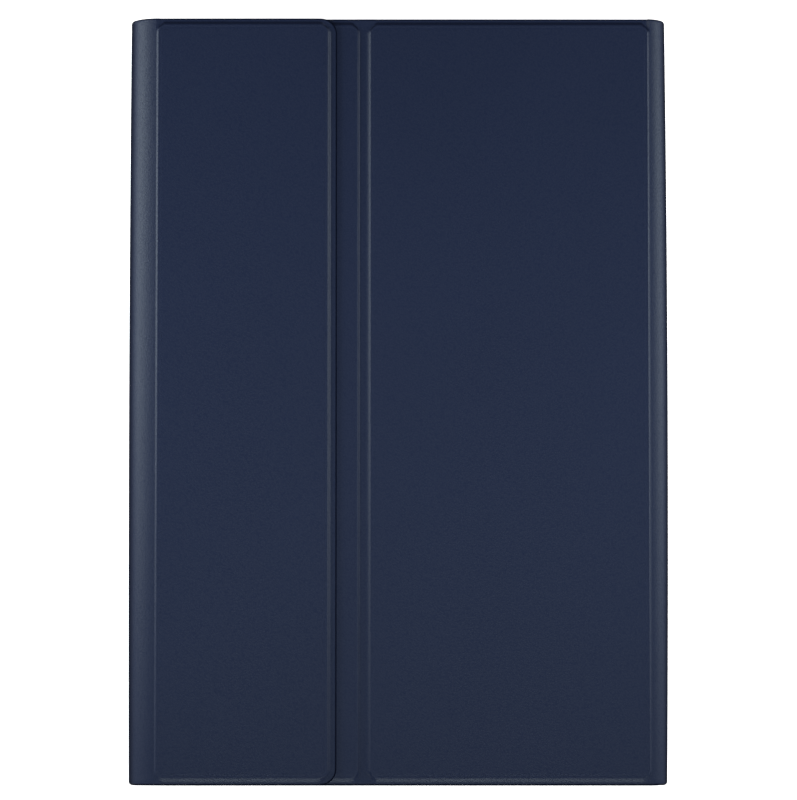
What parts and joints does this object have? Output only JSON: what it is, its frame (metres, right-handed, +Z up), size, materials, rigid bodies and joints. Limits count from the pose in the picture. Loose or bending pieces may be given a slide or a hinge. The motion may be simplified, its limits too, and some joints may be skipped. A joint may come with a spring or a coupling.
{
  "type": "tablet keyboard case",
  "caption": "Closed folio case in dark navy imitation leather that holds a tablet in a tray and a thin keyboard, with a lapped magnetic flap and a fold that props the tablet up.",
  "frame": {"origin": "middle of the bottom face of the closed case", "axes": "+Z up out of the closed case, +X from the spine to the free edge, +Y along the spine"},
  "size_m": [0.1814, 0.258, 0.0231],
  "materials": {
    "cover_leather": "fine-grained matt imitation leather, dark navy",
    "lining_cloth": "brushed microfibre",
    "stiff_board": "pressed fibreboard",
    "magnet_metal": "nickel-plated",
    "keyboard_plastic": "fine spark texture",
    "key_plastic": "smooth matt",
    "holder_plastic": "fine spark texture",
    "soft_rubber": "matt",
    "pad_cloth": "brushed microfibre",
    "plain_steel": "rolled sheet",
    "film_plastic": "printed film",
    "circuit_laminate": "solder mask",
    "cell_foil": "pouch foil",
    "lens_plastic": "clear moulded"
  },
  "bodies": {
    "keyboard_deck": {"deck_skin": "cover_leather", "deck_board": "stiff_board", "deck_lining": "lining_cloth", "keyboard_bottom_case": "keyboard_plastic", "keyboard_top_frame": "keyboard_plastic", "tablet_rest_rail": "keyboard_plastic", "rest_grip_strip": "soft_rubber", "rest_magnets": "magnet_metal", "key_support_plate": "plain_steel", "membrane_circuit": "film_plastic", "rubber_domes": "soft_rubber", "keyboard_circuit_board": "circuit_laminate", "battery_cell": "cell_foil", "charging_socket": "plain_steel", "power_switch_body": "circuit_laminate", "indicator_lenses": "lens_plastic", "keyboard_bumpers": "soft_rubber", "keyboard_screws": "plain_steel"},
    "spine": {"spine_skin": "cover_leather", "spine_stiffener": "stiff_board", "spine_lining": "lining_cloth", "spine_lower_fold": "cover_leather", "spine_upper_fold": "cover_leather"},
    "flap": {"flap_skin": "cover_leather", "flap_board": "stiff_board", "flap_lining": "lining_cloth", "flap_magnets": "magnet_metal"},
    "lower_stand": {"lower_stand_skin": "cover_leather", "lower_stand_board": "stiff_board", "lower_stand_lining": "lining_cloth", "lower_stand_magnets": "magnet_metal", "stand_fold_web": "cover_leather"},
    "upper_stand": {"upper_stand_skin": "cover_leather", "upper_stand_board": "stiff_board", "upper_stand_lining": "lining_cloth", "tablet_holder": "holder_plastic", "holder_grip_bars": "holder_plastic", "holder_pads": "pad_cloth"},
    "power_switch_knob": {"power_switch_knob": "key_plastic"},
    "pair_button": {"pair_button": "key_plastic"},
    "escape_key": {"escape_key": "key_plastic"},
    "function_keys": {"function_keys": "key_plastic"},
    "number_keys": {"number_keys": "key_plastic"},
    "backspace_key": {"backspace_key": "key_plastic"},
    "tab_key": {"tab_key": "key_plastic"},
    "upper_letter_keys": {"upper_letter_keys": "key_plastic"},
    "caps_lock_key": {"caps_lock_key": "key_plastic"},
    "home_letter_keys": {"home_letter_keys": "key_plastic"},
    "enter_key": {"enter_key": "key_plastic"},
    "left_shift_key": {"left_shift_key": "key_plastic"},
    "lower_letter_keys": {"lower_letter_keys": "key_plastic"},
    "right_shift_key": {"right_shift_key": "key_plastic"},
    "left_modifier_keys": {"left_modifier_keys": "key_plastic"},
    "space_bar": {"space_bar": "key_plastic"},
    "right_modifier_keys": {"right_modifier_keys": "key_plastic"},
    "left_arrow_key": {"left_arrow_key": "key_plastic"},
    "up_arrow_key": {"up_arrow_key": "key_plastic"},
    "down_arrow_key": {"down_arrow_key": "key_plastic"},
    "right_arrow_key": {"right_arrow_key": "key_plastic"}
  },
  "joints": [
    {"name": "spine_fold", "type": "hinge", "parent": "keyboard_deck", "child": "spine", "pos_m": [-0.08916, 0, 0.002], "axis": [0, -1, 0], "range_deg": [0, 90], "deforming": ["spine_lower_fold"]},
    {"name": "flap_fold", "type": "hinge", "parent": "spine", "child": "flap", "pos_m": [-0.08916, 0, 0.0211], "axis": [0, -1, 0], "range_deg": [0, 90], "deforming": ["spine_upper_fold"]},
    {"name": "cover_release", "type": "slide", "parent": "flap", "child": "lower_stand", "axis": [1, 0, 0], "range_m": [0, 0.075]},
    {"name": "stand_fold", "type": "hinge", "parent": "lower_stand", "child": "upper_stand", "pos_m": [-0.01137, 0, 0.0195], "axis": [0, 1, 0], "range_deg": [-105, 0], "deforming": ["stand_fold_web"]},
    {"name": "power_switch_slide", "type": "slide", "parent": "keyboard_deck", "child": "power_switch_knob", "axis": [1, 0, 0], "range_m": [0, 0.0015]},
    {"name": "pair_button_press", "type": "slide", "parent": "keyboard_deck", "child": "pair_button", "axis": [0, 0, -1], "range_m": [0, 0.0005], "stiffness_N_per_m": 800, "springref_m": -0.0003},
    {"name": "escape_key_press", "type": "slide", "parent": "keyboard_deck", "child": "escape_key", "axis": [0, 0, -1], "range_m": [0, 0.0013], "stiffness_N_per_m": 450, "springref_m": -0.0006, "deforming": ["rubber_domes"]},
    {"name": "function_keys_press", "type": "slide", "parent": "keyboard_deck", "child": "function_keys", "axis": [0, 0, -1], "range_m": [0, 0.0013], "stiffness_N_per_m": 450, "springref_m": -0.0006, "deforming": ["rubber_domes"]},
    {"name": "number_keys_press", "type": "slide", "parent": "keyboard_deck", "child": "number_keys", "axis": [0, 0, -1], "range_m": [0, 0.0013], "stiffness_N_per_m": 450, "springref_m": -0.0006, "deforming": ["rubber_domes"]},
    {"name": "backspace_key_press", "type": "slide", "parent": "keyboard_deck", "child": "backspace_key", "axis": [0, 0, -1], "range_m": [0, 0.0013], "stiffness_N_per_m": 450, "springref_m": -0.0006, "deforming": ["rubber_domes"]},
    {"name": "tab_key_press", "type": "slide", "parent": "keyboard_deck", "child": "tab_key", "axis": [0, 0, -1], "range_m": [0, 0.0013], "stiffness_N_per_m": 450, "springref_m": -0.0006, "deforming": ["rubber_domes"]},
    {"name": "upper_letter_keys_press", "type": "slide", "parent": "keyboard_deck", "child": "upper_letter_keys", "axis": [0, 0, -1], "range_m": [0, 0.0013], "stiffness_N_per_m": 450, "springref_m": -0.0006, "deforming": ["rubber_domes"]},
    {"name": "caps_lock_key_press", "type": "slide", "parent": "keyboard_deck", "child": "caps_lock_key", "axis": [0, 0, -1], "range_m": [0, 0.0013], "stiffness_N_per_m": 450, "springref_m": -0.0006, "deforming": ["rubber_domes"]},
    {"name": "home_letter_keys_press", "type": "slide", "parent": "keyboard_deck", "child": "home_letter_keys", "axis": [0, 0, -1], "range_m": [0, 0.0013], "stiffness_N_per_m": 450, "springref_m": -0.0006, "deforming": ["rubber_domes"]},
    {"name": "enter_key_press", "type": "slide", "parent": "keyboard_deck", "child": "enter_key", "axis": [0, 0, -1], "range_m": [0, 0.0013], "stiffness_N_per_m": 450, "springref_m": -0.0006, "deforming": ["rubber_domes"]},
    {"name": "left_shift_key_press", "type": "slide", "parent": "keyboard_deck", "child": "left_shift_key", "axis": [0, 0, -1], "range_m": [0, 0.0013], "stiffness_N_per_m": 450, "springref_m": -0.0006, "deforming": ["rubber_domes"]},
    {"name": "lower_letter_keys_press", "type": "slide", "parent": "keyboard_deck", "child": "lower_letter_keys", "axis": [0, 0, -1], "range_m": [0, 0.0013], "stiffness_N_per_m": 450, "springref_m": -0.0006, "deforming": ["rubber_domes"]},
    {"name": "right_shift_key_press", "type": "slide", "parent": "keyboard_deck", "child": "right_shift_key", "axis": [0, 0, -1], "range_m": [0, 0.0013], "stiffness_N_per_m": 450, "springref_m": -0.0006, "deforming": ["rubber_domes"]},
    {"name": "left_modifier_keys_press", "type": "slide", "parent": "keyboard_deck", "child": "left_modifier_keys", "axis": [0, 0, -1], "range_m": [0, 0.0013], "stiffness_N_per_m": 450, "springref_m": -0.0006, "deforming": ["rubber_domes"]},
    {"name": "space_bar_press", "type": "slide", "parent": "keyboard_deck", "child": "space_bar", "axis": [0, 0, -1], "range_m": [0, 0.0013], "stiffness_N_per_m": 450, "springref_m": -0.0006, "deforming": ["rubber_domes"]},
    {"name": "right_modifier_keys_press", "type": "slide", "parent": "keyboard_deck", "child": "right_modifier_keys", "axis": [0, 0, -1], "range_m": [0, 0.0013], "stiffness_N_per_m": 450, "springref_m": -0.0006, "deforming": ["rubber_domes"]},
    {"name": "left_arrow_key_press", "type": "slide", "parent": "keyboard_deck", "child": "left_arrow_key", "axis": [0, 0, -1], "range_m": [0, 0.0013], "stiffness_N_per_m": 450, "springref_m": -0.0006, "deforming": ["rubber_domes"]},
    {"name": "up_arrow_key_press", "type": "slide", "parent": "keyboard_deck", "child": "up_arrow_key", "axis": [0, 0, -1], "range_m": [0, 0.0013], "stiffness_N_per_m": 450, "springref_m": -0.0006, "deforming": ["rubber_domes"]},
    {"name": "down_arrow_key_press", "type": "slide", "parent": "keyboard_deck", "child": "down_arrow_key", "axis": [0, 0, -1], "range_m": [0, 0.0013], "stiffness_N_per_m": 450, "springref_m": -0.0006, "deforming": ["rubber_domes"]},
    {"name": "right_arrow_key_press", "type": "slide", "parent": "keyboard_deck", "child": "right_arrow_key", "axis": [0, 0, -1], "range_m": [0, 0.0013], "stiffness_N_per_m": 450, "springref_m": -0.0006, "deforming": ["rubber_domes"]}
  ]
}
